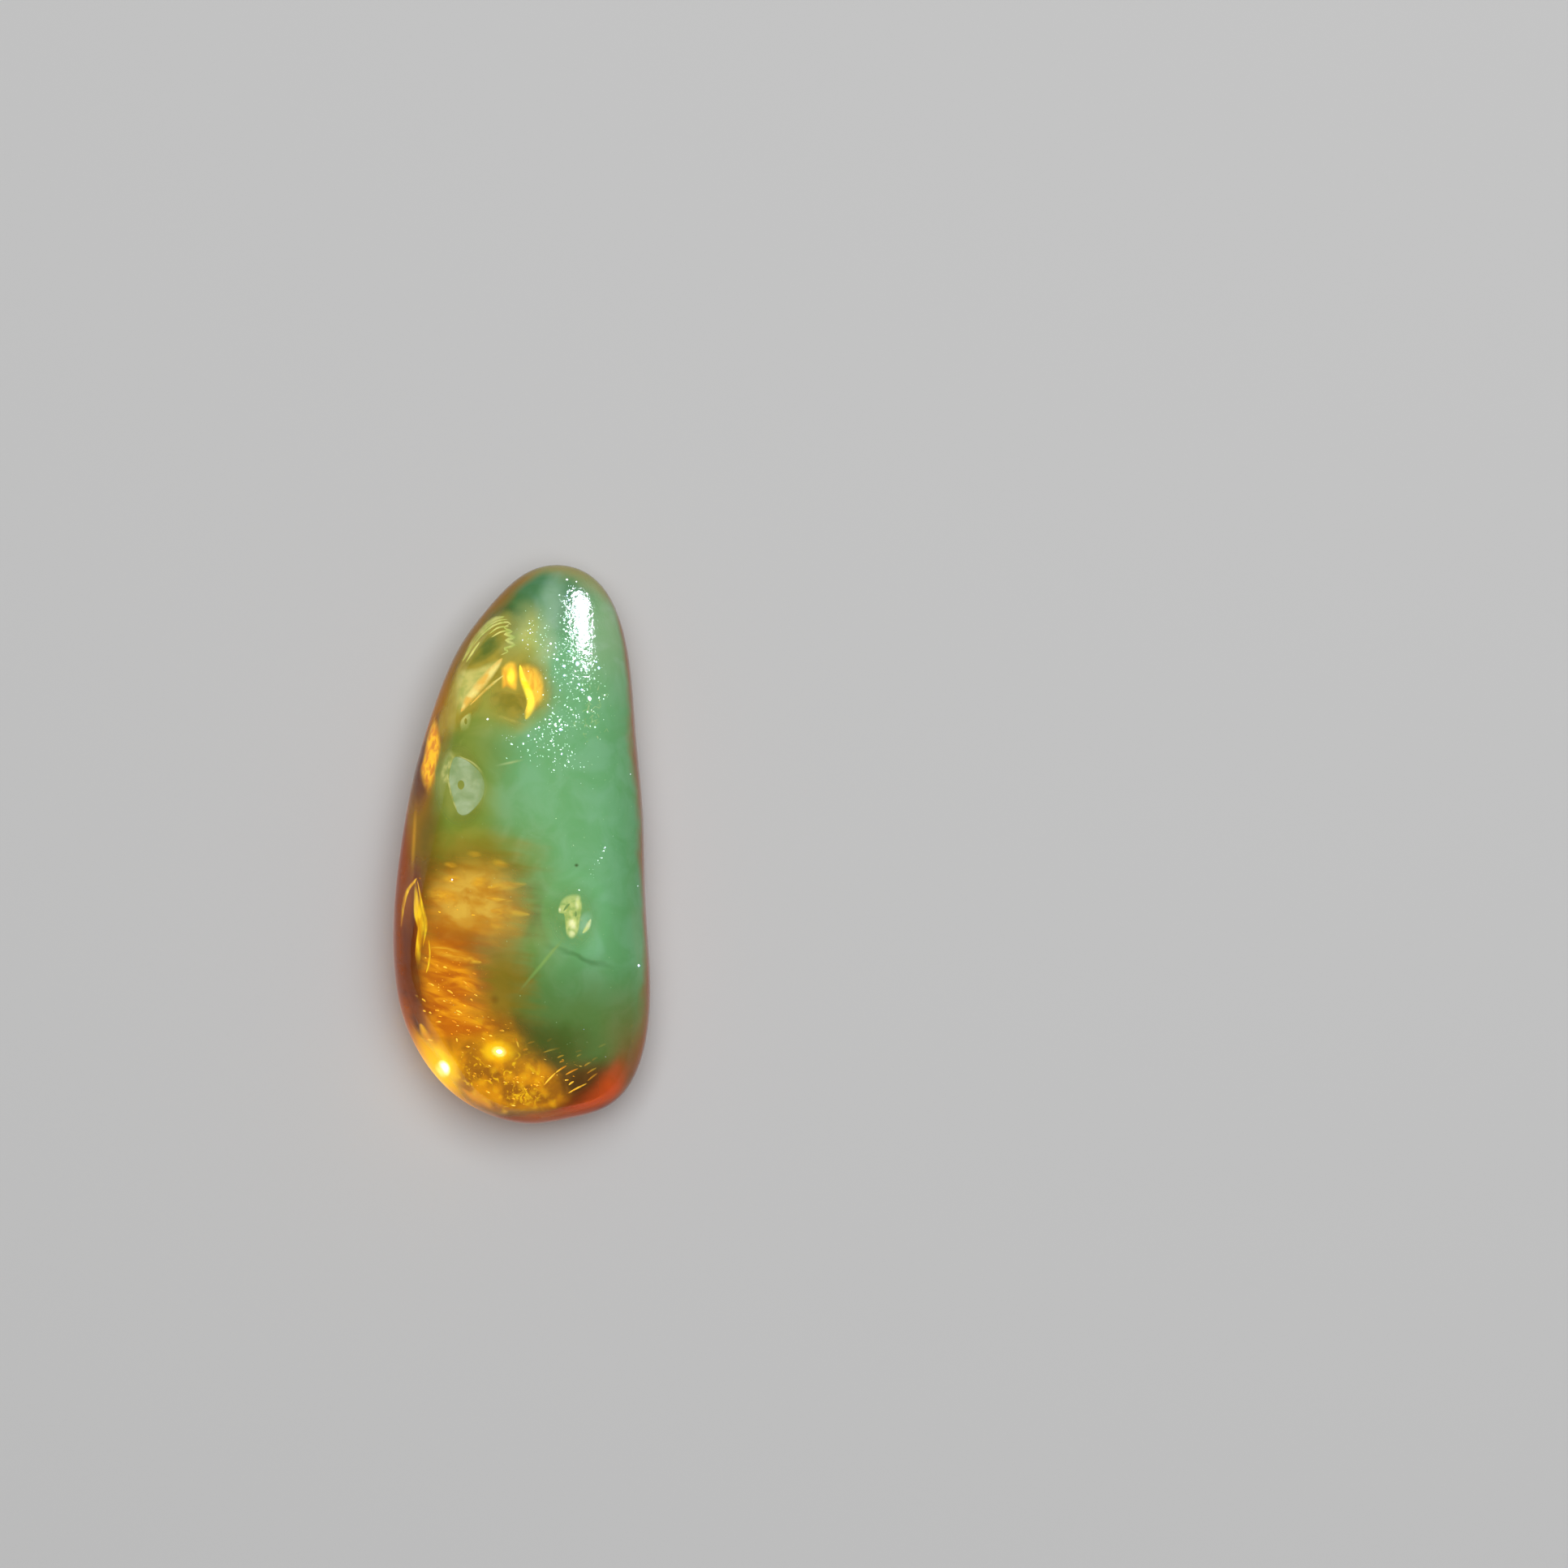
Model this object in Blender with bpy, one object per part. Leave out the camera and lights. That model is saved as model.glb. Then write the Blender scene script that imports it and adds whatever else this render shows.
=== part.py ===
# Polished amber: one tumbled and hand-polished pebble, teardrop in plan, lying on its flat underside.
# The long axis runs along Y with the narrow tip at +Y, X is across and Z is up.
# The origin is the middle of the pebble's outer box, on the surface that it rests on.
import math

import bmesh
import bpy
import numpy as np

MM = 0.001

# Driving dimensions
LENGTH = 40.0 * MM
WIDTH = 18.4 * MM
THICKNESS = 10.4 * MM
RIM_HEIGHT = 4.3 * MM  # the level where the pebble is widest, above the face that it rests on
BELLY_CUT = 0.55 * MM  # how much of the round belly the flat underside takes off
FLAT_EDGE = 0.12 * MM  # half width of the rounding where the belly meets the flat

# Points on the rim as seen from above, in mm, running round from the tip past +X
RIM_POINTS_MM = (
    (2.7, 20.0), (5.1, 19.0), (6.75, 16.9), (7.65, 13.4), (8.1, 9.4), (8.5, 5.0), (8.8, 0.0),
    (9.0, -5.0), (9.2, -9.5), (9.1, -13.2), (8.45, -16.05), (7.05, -18.15), (4.4, -19.5), (0.9, -20.0),
    (-2.3, -19.4), (-4.9, -17.9), (-6.9, -15.8), (-8.2, -13.1), (-9.0, -10.4), (-9.2, -7.0),
    (-9.0, -3.0), (-8.3, 1.8), (-7.3, 6.4), (-5.9, 10.9), (-4.0, 14.7), (-2.0, 17.3), (0.2, 19.2),
)
RIM_WAVES = 9  # terms of the Fourier series that is laid through those points

SQUARENESS = 0.86  # 1 gives elliptical sections, less gives fuller shoulders and a flatter crown
CREST_SHIFT = (-0.5 * MM, -1.6 * MM)  # the crown lies a little towards the wide end

# Soft facets left by grinding: direction round Z and above the rim in degrees, distance and softness in mm
FACETS = (
    {"name": "left shoulder", "azimuth": 168.5, "elevation": 38.0, "distance": 7.65, "softness": 0.55},
    {"name": "upper left shoulder", "azimuth": 143.0, "elevation": 36.0, "distance": 11.15, "softness": 0.9},
    {"name": "lower left corner", "azimuth": 214.0, "elevation": 33.0, "distance": 12.55, "softness": 0.9},
    {"name": "wide end", "azimuth": 285.0, "elevation": 48.0, "distance": 16.1, "softness": 1.6},
)

# Shallow waves that hand polishing leaves: height in mm, waves per metre along X, Y and Z, phase in turns
POLISH_WAVES = (
    {"height": 0.10, "per_metre": (38.0, 52.0, 30.0), "phase": 0.10},
    {"height": 0.07, "per_metre": (-71.0, 64.0, 45.0), "phase": 0.55},
    {"height": 0.05, "per_metre": (95.0, -38.0, -80.0), "phase": 0.30},
)
RIM_SHARE = 0.3  # how much of the waves reaches the rim, where the outline stays even

GRID_CUTS = 23  # cuts along each edge of the cube that is blown up into the pebble

AMBER_COLOUR = (0.62, 0.36, 0.06, 1.0)
AMBER_ROUGHNESS = 0.06
AMBER_IOR = 1.54


def clear_scene():
    for old in list(bpy.data.objects):
        bpy.data.objects.remove(old, do_unlink=True)


def rim_factor(angle):
    """How far the rim lies from the centre at each eccentric angle, as a share of the ellipse of the same
    length and width: a short Fourier series laid through RIM_POINTS_MM by least squares."""
    points = np.array(RIM_POINTS_MM) * MM
    across = points[:, 0] / (WIDTH / 2)
    along = points[:, 1] / (LENGTH / 2)
    known = fourier_terms(np.arctan2(along, across))
    weights = np.linalg.lstsq(known, np.hypot(across, along), rcond=None)[0]
    return fourier_terms(angle) @ weights


def fourier_terms(angle):
    waves = np.outer(angle, np.arange(1, RIM_WAVES + 1))
    return np.hstack([np.ones((len(angle), 1)), np.cos(waves), np.sin(waves)])


def above_zero(value, softness):
    """The larger of value and 0, with a parabola from -softness to +softness in place of the corner."""
    middle = (value + softness) ** 2 / (4 * softness)
    return np.where(value < -softness, 0.0, np.where(value > softness, value, middle))


def pebble_points(direction):
    """Moves unit directions to the pebble's surface, with the rim level at z 0."""
    angle = np.arctan2(direction[:, 1], direction[:, 0])
    level = np.hypot(direction[:, 0], direction[:, 1])
    rise = direction[:, 2]

    # Level curves are ellipses at the crown and take on the rim's outline towards the rim
    outline = 1 + (rim_factor(angle) - 1) * level**2
    reach = level**SQUARENESS * outline
    lean = 1 - level**2
    x = WIDTH / 2 * reach * np.cos(angle) + CREST_SHIFT[0] * lean
    y = LENGTH / 2 * reach * np.sin(angle) + CREST_SHIFT[1] * lean

    dome = THICKNESS - RIM_HEIGHT
    belly = RIM_HEIGHT + BELLY_CUT
    z = np.sign(rise) * np.abs(rise) ** SQUARENESS * np.where(rise > 0, dome, belly)
    return np.stack([x, y, z], axis=1)


def grind_facets(points):
    """Pushes what stands out past each facet's plane back onto it, with a soft edge."""
    for facet in FACETS:
        azimuth = math.radians(facet["azimuth"])
        elevation = math.radians(facet["elevation"])
        normal = np.array([
            math.cos(elevation) * math.cos(azimuth),
            math.cos(elevation) * math.sin(azimuth),
            math.sin(elevation),
        ])
        past = points @ normal - facet["distance"] * MM
        points = points - np.outer(above_zero(past, facet["softness"] * MM), normal)
    return points


def polish(points, direction):
    """Adds the shallow waves of hand polishing, along each point's own direction."""
    share = RIM_SHARE + (1 - RIM_SHARE) * np.abs(direction[:, 2])
    for wave in POLISH_WAVES:
        turns = points @ np.array(wave["per_metre"]) + wave["phase"]
        height = wave["height"] * MM * share * np.cos(2 * math.pi * turns)
        points = points + direction * height[:, None]
    return points


def set_on_flat(points):
    """Grinds the belly flat at z 0, brings the outer box to the driving dimensions and centres it."""
    points = points + np.array([0.0, 0.0, RIM_HEIGHT])
    points[:, 2] = above_zero(points[:, 2], FLAT_EDGE)
    low, high = points.min(axis=0), points.max(axis=0)
    points = points - np.array([(low[0] + high[0]) / 2, (low[1] + high[1]) / 2, 0.0])
    return points * np.array([WIDTH, LENGTH, THICKNESS]) / (high - low)


def blown_cube():
    """A cube cut into an even grid, for blowing up into a ball with no poles."""
    grid = bmesh.new()
    bmesh.ops.create_cube(grid, size=2.0)
    bmesh.ops.subdivide_edges(grid, edges=grid.edges[:], cuts=GRID_CUTS, use_grid_fill=True)
    return grid


def pebble_mesh():
    grid = blown_cube()
    cube = np.array([vertex.co for vertex in grid.verts])
    even = np.tan(cube * math.pi / 4)  # keeps the grid's cells alike over the ball
    direction = even / np.linalg.norm(even, axis=1)[:, None]
    points = pebble_points(direction)
    points = grind_facets(points)
    points = polish(points, direction)
    points = set_on_flat(points)
    for vertex, place in zip(grid.verts, points):
        vertex.co = place
    bmesh.ops.triangulate(grid, faces=grid.faces[:])
    bmesh.ops.recalc_face_normals(grid, faces=grid.faces[:])
    mesh = bpy.data.meshes.new("amber")
    grid.to_mesh(mesh)
    grid.free()
    mesh.shade_smooth()
    return mesh


def amber_material():
    material = bpy.data.materials.new("amber")
    material.use_nodes = True
    shader = material.node_tree.nodes["Principled BSDF"]
    shader.inputs["Base Color"].default_value = AMBER_COLOUR
    shader.inputs["Roughness"].default_value = AMBER_ROUGHNESS
    shader.inputs["IOR"].default_value = AMBER_IOR
    shader.inputs["Metallic"].default_value = 0.0
    shader.inputs["Transmission Weight"].default_value = 1.0
    return material


def main():
    clear_scene()
    amber = bpy.data.objects.new("amber", pebble_mesh())
    amber.data.materials.append(amber_material())
    bpy.context.scene.collection.objects.link(amber)


main()
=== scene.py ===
# Polished amber: a clear honey pebble with a milky green glow under its skin, and the fissures, veils,
# needles, painted glints and painted glows that show in it. Shapes are worked out in millimetres and written
# in metres.
import math

import bpy
import numpy as np
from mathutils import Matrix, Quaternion, Vector


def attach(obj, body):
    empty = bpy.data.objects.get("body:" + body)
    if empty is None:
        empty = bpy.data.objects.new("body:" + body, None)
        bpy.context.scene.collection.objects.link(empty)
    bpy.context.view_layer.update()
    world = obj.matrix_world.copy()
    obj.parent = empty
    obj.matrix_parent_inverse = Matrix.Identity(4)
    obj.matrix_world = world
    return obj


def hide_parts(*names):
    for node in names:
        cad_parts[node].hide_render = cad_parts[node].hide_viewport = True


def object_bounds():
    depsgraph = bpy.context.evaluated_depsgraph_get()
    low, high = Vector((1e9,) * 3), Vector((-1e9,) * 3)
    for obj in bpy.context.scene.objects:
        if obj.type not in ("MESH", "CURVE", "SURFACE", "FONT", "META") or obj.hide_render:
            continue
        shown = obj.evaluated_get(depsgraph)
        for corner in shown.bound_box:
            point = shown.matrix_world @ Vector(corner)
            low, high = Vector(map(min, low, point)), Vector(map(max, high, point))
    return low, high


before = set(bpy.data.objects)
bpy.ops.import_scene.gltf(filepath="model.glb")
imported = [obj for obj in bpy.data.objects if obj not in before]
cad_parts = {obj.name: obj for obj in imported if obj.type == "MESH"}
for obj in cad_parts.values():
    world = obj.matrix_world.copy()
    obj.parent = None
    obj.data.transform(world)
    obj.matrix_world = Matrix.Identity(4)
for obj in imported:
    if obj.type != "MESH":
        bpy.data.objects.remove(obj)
cadLow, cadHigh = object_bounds()
mm = 0.001


# Shader maths

class Wire:
    # A socket of a material: sums and products of wires add Math nodes
    def __init__(self, socket):
        self.socket = socket

    def maths(self, operation, first, second=None):
        node = self.socket.node.id_data.nodes.new("ShaderNodeMath")
        node.operation = operation
        for slot, value in zip(node.inputs, (first, second)):
            plug(slot, value)
        return Wire(node.outputs[0])

    def __add__(self, other):
        return self.maths("ADD", self, other)

    def __sub__(self, other):
        return self.maths("SUBTRACT", self, other)

    def __rsub__(self, other):
        return self.maths("SUBTRACT", other, self)

    def __mul__(self, other):
        return self.maths("MULTIPLY", self, other)

    __rmul__ = __mul__


def plug(slot, value):
    # Links a wire to a socket, or sets the socket to a plain value
    if isinstance(value, Wire):
        slot.id_data.links.new(value.socket, slot)
    elif value is not None:
        slot.default_value = value


def tone(red, green, blue):
    # A colour given in sRGB bytes, as the linear values that a shader takes
    share = np.array([red, green, blue]) / 255
    linear = np.where(share < 0.04045, share / 12.92, ((share + 0.055) / 1.055) ** 2.4)
    return (*linear.tolist(), 1.0)


class Finish:
    # A material that is built up from nodes
    def __init__(self, name):
        self.material = bpy.data.materials.new(name)
        self.material.use_nodes = True
        self.nodes = self.material.node_tree.nodes
        self.nodes.clear()
        self.output = self.nodes.new("ShaderNodeOutputMaterial")
        place = self.add("TexCoord", pick="Object")
        self.place = self.add("Mapping", {"vector_type": "POINT"}, Vector=place, Scale=[1 / mm] * 3)

    def add(self, kind, settings=None, pick=0, **inputs):
        # One node: its settings first, then its sockets. _ in a socket's name is a space, iN is its number
        node = self.nodes.new("ShaderNode" + kind)
        for key, value in (settings or {}).items():
            setattr(node, key, value)
        for key, value in inputs.items():
            numbered = key[0] == "i" and key[1:].isdigit()
            plug(node.inputs[int(key[1:]) if numbered else key.replace("_", " ")], value)
        return Wire(node.outputs[pick])

    def noise(self, scale, detail=2.0, vector=None, **more):
        place = vector or self.place
        return self.add("TexNoise", pick="Fac", Vector=place, Scale=scale, Detail=detail, **more)

    def stretched(self, scale, turn=0.0):
        # Places in mm, multiplied along axes that are turned about Z
        return self.add("Mapping", {"vector_type": "TEXTURE"}, Vector=self.place,
                        Scale=[1 / s for s in scale], Rotation=(0, 0, math.radians(turn)))

    def ramp(self, value, low, high, toLow=0.0, toHigh=1.0):
        return self.add("MapRange", {"interpolation_type": "SMOOTHSTEP", "clamp": True}, Value=value,
                        From_Min=low, From_Max=high, To_Min=toLow, To_Max=toHigh)

    def mixed(self, factor, first, second, blend="MIX"):
        # Colours: 0 gives the first, 1 the second
        settings = {"data_type": "RGBA", "blend_type": blend}
        return self.add("Mix", settings, pick=2, i0=factor, i6=first, i7=second)

    def blob(self, spot, warps):
        # Its amount inside a soft-edged ellipse seen from above, 0 outside it: the distance from its middle,
        # in radii, through a smooth step. At 60 mm it is so high that only the plan counts
        local = self.add("Mapping", {"vector_type": "TEXTURE"}, Vector=warps[spot["edge"]],
                         Location=(*spot["at"], 0), Rotation=(0, 0, math.radians(spot["turn"])),
                         Scale=(*spot["radii"], 60))
        far = self.add("VectorMath", {"operation": "LENGTH"}, pick="Value", Vector=local)
        return self.ramp(far, 1 + spot["soft"], 1 - spot["soft"], 0, spot["amount"])

    def painted(self, colour, strokes, warps):
        # Soft-edged patches of colour laid one over the other
        for own, spot in strokes:
            colour = self.mixed(self.blob(spot, warps), colour, tone(*own))
        return colour

    def show(self, surface, volume=None):
        plug(self.output.inputs["Surface"], surface)
        plug(self.output.inputs["Volume"], volume)
        return self.material


# The pebble's form, the same as the solid's

pebble = {
    "rim": (  # points seen from above, in mm, from the tip past +X
        (2.7, 20), (5.1, 19), (6.75, 16.9), (7.65, 13.4), (8.1, 9.4), (8.5, 5), (8.8, 0), (9, -5),
        (9.2, -9.5), (9.1, -13.2), (8.45, -16.05), (7.05, -18.15), (4.4, -19.5), (0.9, -20), (-2.3, -19.4),
        (-4.9, -17.9), (-6.9, -15.8), (-8.2, -13.1), (-9, -10.4), (-9.2, -7), (-9, -3), (-8.3, 1.8),
        (-7.3, 6.4), (-5.9, 10.9), (-4, 14.7), (-2, 17.3), (0.2, 19.2),
    ),
    "rimWaves": 9,  # terms of the Fourier series laid through them
    "rimHeight": 4.3,
    "bellyCut": 0.55,
    "flatEdge": 0.12,
    "squareness": 0.86,
    "crestShift": (-0.5, -1.6),
    "facets": (  # direction round Z and above the rim in degrees, distance and softness in mm
        (168.5, 38.0, 7.65, 0.55),
        (143.0, 36.0, 11.15, 0.9),
        (214.0, 33.0, 12.55, 0.9),
        (285.0, 48.0, 16.1, 1.6),
    ),
    "waves": (  # height in mm, waves per mm along X, Y and Z, phase in turns
        (0.10, (0.038, 0.052, 0.030), 0.10),
        (0.07, (-0.071, 0.064, 0.045), 0.55),
        (0.05, (0.095, -0.038, -0.080), 0.30),
    ),
    "waveRimShare": 0.3,
    "cells": 120,  # grid cells along each edge of the cube that is blown up into the pebble
}
size = np.array(cadHigh - cadLow) / mm
middle = np.array(cadHigh + cadLow) / 2 / mm


def fourierTerms(angle):
    waves = np.outer(angle, np.arange(1, pebble["rimWaves"] + 1))
    return np.hstack([np.ones((len(angle), 1)), np.cos(waves), np.sin(waves)])


def fittedRim():
    # Weights of the Fourier series for the rim's distance, as a share of the ellipse's, by least squares
    points = np.array(pebble["rim"]) / (size[:2] / 2)
    known = fourierTerms(np.arctan2(points[:, 1], points[:, 0]))
    return np.linalg.lstsq(known, np.hypot(points[:, 0], points[:, 1]), rcond=None)[0]


rimWeights = fittedRim()


def aboveZero(value, softness):
    # The larger of value and 0, with a parabola in place of the corner
    curve = (value + softness) ** 2 / (4 * softness)
    return np.where(value < -softness, 0.0, np.where(value > softness, value, curve))


def roughPebble(direction):
    # Unit directions to skin points: a superellipsoid whose level curves turn from ellipses at the crown
    # into the rim's outline, ground by the facets, rippled by the waves and flat below
    angle = np.arctan2(direction[:, 1], direction[:, 0])
    level = np.hypot(direction[:, 0], direction[:, 1])
    rise = direction[:, 2]
    reach = level ** pebble["squareness"] * (1 + (fourierTerms(angle) @ rimWeights - 1) * level**2)
    lean = 1 - level**2
    x = size[0] / 2 * reach * np.cos(angle) + pebble["crestShift"][0] * lean
    y = size[1] / 2 * reach * np.sin(angle) + pebble["crestShift"][1] * lean
    dome = size[2] - pebble["rimHeight"]
    belly = pebble["rimHeight"] + pebble["bellyCut"]
    z = np.sign(rise) * np.abs(rise) ** pebble["squareness"] * np.where(rise > 0, dome, belly)
    points = np.stack([x, y, z], axis=1)

    for azimuth, elevation, distance, softness in pebble["facets"]:
        a, e = math.radians(azimuth), math.radians(elevation)
        normal = np.array([math.cos(e) * math.cos(a), math.cos(e) * math.sin(a), math.sin(e)])
        points = points - np.outer(aboveZero(points @ normal - distance, softness), normal)

    share = pebble["waveRimShare"] + (1 - pebble["waveRimShare"]) * np.abs(rise)
    for height, perMm, phase in pebble["waves"]:
        turns = points @ np.array(perMm) + phase
        points = points + direction * (height * share * np.cos(2 * math.pi * turns))[:, None]

    points = points + np.array([0, 0, pebble["rimHeight"]])
    points[:, 2] = aboveZero(points[:, 2], pebble["flatEdge"])
    return points


def cubeDirections(cells):
    # Six square grids of unit directions, each a cube face whose two parameters are spread by a tangent
    line = np.tan(np.linspace(-1, 1, cells + 1) * math.pi / 4)
    s, t = np.meshgrid(line, line, indexing="ij")
    one = np.ones_like(s)
    sides = [(s, t, one), (t, s, -one), (one, s, t), (-one, t, s), (t, one, s), (s, -one, t)]
    cube = np.stack([np.stack(side, axis=-1) for side in sides]).reshape(-1, 3)
    return cube / np.linalg.norm(cube, axis=1)[:, None]


def gridQuads(rows, columns, wrap=False):
    # Corner numbers of each cell of a grid of points; wrap joins the last column to the first
    number = np.arange(rows * columns).reshape(rows, columns)
    if wrap:
        number = np.hstack([number, number[:, :1]])
    corners = [number[:-1, :-1], number[1:, :-1], number[1:, 1:], number[:-1, 1:]]
    return np.stack([c.ravel() for c in corners], axis=1)


roughSkin = roughPebble(cubeDirections(pebble["cells"]))
roughLow, roughHigh = roughSkin.min(axis=0), roughSkin.max(axis=0)


def pebbleSkin(direction):
    # The rough pebble brought to the solid's own box
    share = (roughPebble(direction) - (roughLow + roughHigh) / 2) / (roughHigh - roughLow)
    return middle + share * size


# Where things inside have to be to show through the skin at a place of the picture

view = {
    "imagePixels": 1932,
    "pixelsPerMm": 17.2,
    "pebbleMiddlePixel": (643.0, 1040.0),
    "sensorMm": 36.0,
    "lensMm": 100.0,
}
resin = {
    "ior": 1.54,
    "takenPerMetre": (12.0, 85.0, 480.0),  # absorption of red, green and blue
    "roughness": 0.02,
}
fieldMm = view["imagePixels"] / view["pixelsPerMm"]
eye = np.array([
    (view["imagePixels"] / 2 - view["pebbleMiddlePixel"][0]) / view["pixelsPerMm"],
    (view["pebbleMiddlePixel"][1] - view["imagePixels"] / 2) / view["pixelsPerMm"],
    view["lensMm"] * fieldMm / view["sensorMm"] + pebble["rimHeight"],
])


def crownDirection(u, v, nearRim=0.9995):
    # Upper unit directions whose shadow on the plan is (u, v)
    level = np.minimum(np.hypot(u, v), nearRim)
    angle = np.arctan2(v, u)
    return np.stack([level * np.cos(angle), level * np.sin(angle), np.sqrt(1 - level**2)], axis=1)


def crownAbove(x, y, steps=14, share=0.8):
    # The upper skin's point over each place of the plan: the direction moves by a share of the miss
    u, v = (x - middle[0]) / size[0] * 2, (y - middle[1]) / size[1] * 2
    for step in range(steps):
        landed = pebbleSkin(crownDirection(u, v))
        u = u + share * (x - landed[:, 0]) / size[0] * 2
        v = v + share * (y - landed[:, 1]) / size[1] * 2
    return landed


def crownNormal(points, reach=0.06):
    # Upward unit normals of the upper skin, from the heights a small reach to each side
    x, y = points[:, 0], points[:, 1]
    slopeX = (crownAbove(x + reach, y)[:, 2] - crownAbove(x - reach, y)[:, 2]) / (2 * reach)
    slopeY = (crownAbove(x, y + reach)[:, 2] - crownAbove(x, y - reach)[:, 2]) / (2 * reach)
    normal = np.stack([-slopeX, -slopeY, np.ones_like(slopeX)], axis=1)
    return normal / np.linalg.norm(normal, axis=1)[:, None]


def seenInside(plan, depth, steps=3):
    # Where a thing inside has to be, to be seen from the camera at a place of the rim's plane: the line of
    # sight meets the skin, bends by the law of refraction, and goes on for the depth
    place = np.column_stack([plan, np.full(len(plan), pebble["rimHeight"])])
    sight = place - eye
    sight = sight / np.linalg.norm(sight, axis=1)[:, None]
    for step in range(steps):
        skin = crownAbove(place[:, 0], place[:, 1])
        place = place + sight * ((skin[:, 2] - place[:, 2]) / sight[:, 2])[:, None]
    normal = crownNormal(skin)
    facing = -np.sum(sight * normal, axis=1)
    bend = np.sqrt(1 - (1 - facing**2) / resin["ior"] ** 2)
    inward = sight / resin["ior"] + normal * (facing / resin["ior"] - bend)[:, None]
    return skin + inward * np.broadcast_to(depth, len(plan))[:, None]


# Pieces

def makePiece(name, points, quads, finish, local=None):
    # Welds points that coincide, drops faces that collapse and writes the mesh in metres. local holds two
    # numbers for each point, which become the piece's UV map
    _, first, index = np.unique(np.round(points, 4), axis=0, return_index=True, return_inverse=True)
    corners = index.reshape(-1)[quads]
    faces = np.vstack([corners[:, [0, 1, 2]], corners[:, [0, 2, 3]]])
    whole = (faces[:, 0] != faces[:, 1]) & (faces[:, 1] != faces[:, 2]) & (faces[:, 2] != faces[:, 0])
    faces = faces[whole]
    mesh = bpy.data.meshes.new(name)
    mesh.from_pydata((points[first] * mm).tolist(), [], faces.tolist())
    mesh.shade_smooth()
    if local is not None:
        mesh.uv_layers.new(name="along").data.foreach_set("uv", local[first][faces.ravel()].ravel())
    mesh.materials.append(finish)
    piece = bpy.data.objects.new(name, mesh)
    bpy.context.scene.collection.objects.link(piece)
    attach(piece, "root")
    return piece


def joined(parts):
    # Several (points, quads, local) as one
    starts = np.cumsum([0] + [len(points) for points, quads, local in parts])
    points = np.vstack([part[0] for part in parts])
    quads = np.vstack([part[1] + start for part, start in zip(parts, starts)])
    return points, quads, np.vstack([part[2] for part in parts])


def curveThrough(points, count, closed=False):
    # A Catmull-Rom curve through a few points: each stretch is a cubic of its own share of the way
    points = np.array(points, float)
    if closed:
        points = np.vstack([points[-1:], points, points[:2]])
    else:
        points = np.vstack([2 * points[:1] - points[1:2], points, 2 * points[-1:] - points[-2:-1]])
    way = np.linspace(0, len(points) - 3, count, endpoint=not closed)
    start = np.minimum(way.astype(int), len(points) - 4)
    t = (way - start)[:, None]
    a, b, c, d = (points[start + step] for step in range(4))
    return 0.5 * (2 * b + (c - a) * t + (2 * a - 5 * b + 4 * c - d) * t**2 + (3 * b - a - 3 * c + d) * t**3)


def oval(at, radii, turn=0.0):
    # Eight points of an ellipse
    around = np.arange(8) * math.pi / 4
    x, y = radii[0] * np.cos(around), radii[1] * np.sin(around)
    cos, sin = math.cos(math.radians(turn)), math.sin(math.radians(turn))
    return np.stack([at[0] + x * cos - y * sin, at[1] + x * sin + y * cos], axis=1)


def flake(outline, depth, thick, hole=None, ripple=0.0, rows=15, columns=56):
    # A closed thin leaf: over the top from its middle, or from its hole, out to the outline and back below.
    # The share of the way out is a sine and the height above its middle plane a cosine, plus a ripple
    edge = curveThrough(outline, columns, closed=True)
    centre = edge.mean(axis=0)
    wayRound = np.cross(edge[0] - centre, edge[1] - centre)
    if hole is None:
        turn = np.linspace(0, 1, rows)[:, None, None] * math.pi
        out = np.sin(turn)
        out[[0, -1]] = 0
        start = centre + np.zeros_like(edge)
        rise = np.cos(turn) * thick
    else:
        around = np.linspace(0, 2 * math.pi, columns, endpoint=False) * np.sign(wayRound)
        around = around + np.arctan2(*(edge[0] - centre)[::-1])
        start = np.array(hole[0]) + np.array(hole[1]) * np.stack([np.cos(around), np.sin(around)], axis=1)
        turn = np.linspace(0, 1, rows)[:, None, None] * 2 * math.pi
        out = 0.5 - 0.5 * np.cos(turn)
        rise = np.sin(turn) * thick
    plan = (start + (edge - start) * out).reshape(-1, 2)
    away = plan - centre
    points = seenInside(plan, depth)
    waves = ripple * np.sin(away[:, 0] * 5.1 + 1.3) * np.cos(away[:, 1] * 4.3)
    points[:, 2] += np.broadcast_to(rise, (rows, columns, 1)).reshape(-1) + waves
    if wayRound < 0:
        points = points.reshape(rows, columns, 3)[:, ::-1].reshape(-1, 3)
        away = away.reshape(rows, columns, 2)[:, ::-1].reshape(-1, 2)
    local = np.stack([np.broadcast_to(out, (rows, columns, 1)).reshape(-1), np.hypot(*away.T)], axis=1)
    return points, gridQuads(rows, columns, wrap=True), local


def ribbon(path, width, depth, thick=0.05, rows=28, columns=8, taper=0.6):
    # A flat thread along a path: its section is an ellipse, its width a power of a sine, so that it tapers
    # to a point at both ends
    way = np.linspace(0, 1, rows)
    line = curveThrough(path, rows)
    lead = np.gradient(line, axis=0)
    lead = lead / np.linalg.norm(lead, axis=1)[:, None]
    side = np.stack([lead[:, 1], -lead[:, 0]], axis=1)
    spread = np.sin(way * math.pi) ** taper
    spread[[0, -1]] = 0
    around = np.linspace(0, 2 * math.pi, columns, endpoint=False)
    across = spread[:, None] * np.cos(around) * width / 2
    points = np.repeat(seenInside(line, depth)[:, None, :], columns, axis=1)
    points[:, :, :2] += side[:, None, :] * across[:, :, None]
    points[:, :, 2] += spread[:, None] * np.sin(around) * thick / 2
    local = np.stack([np.broadcast_to(np.abs(np.cos(around)), across.shape),
                      np.broadcast_to(way[:, None], across.shape)], axis=2)
    return points.reshape(-1, 3), gridQuads(rows, columns, wrap=True), local.reshape(-1, 2)


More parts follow.
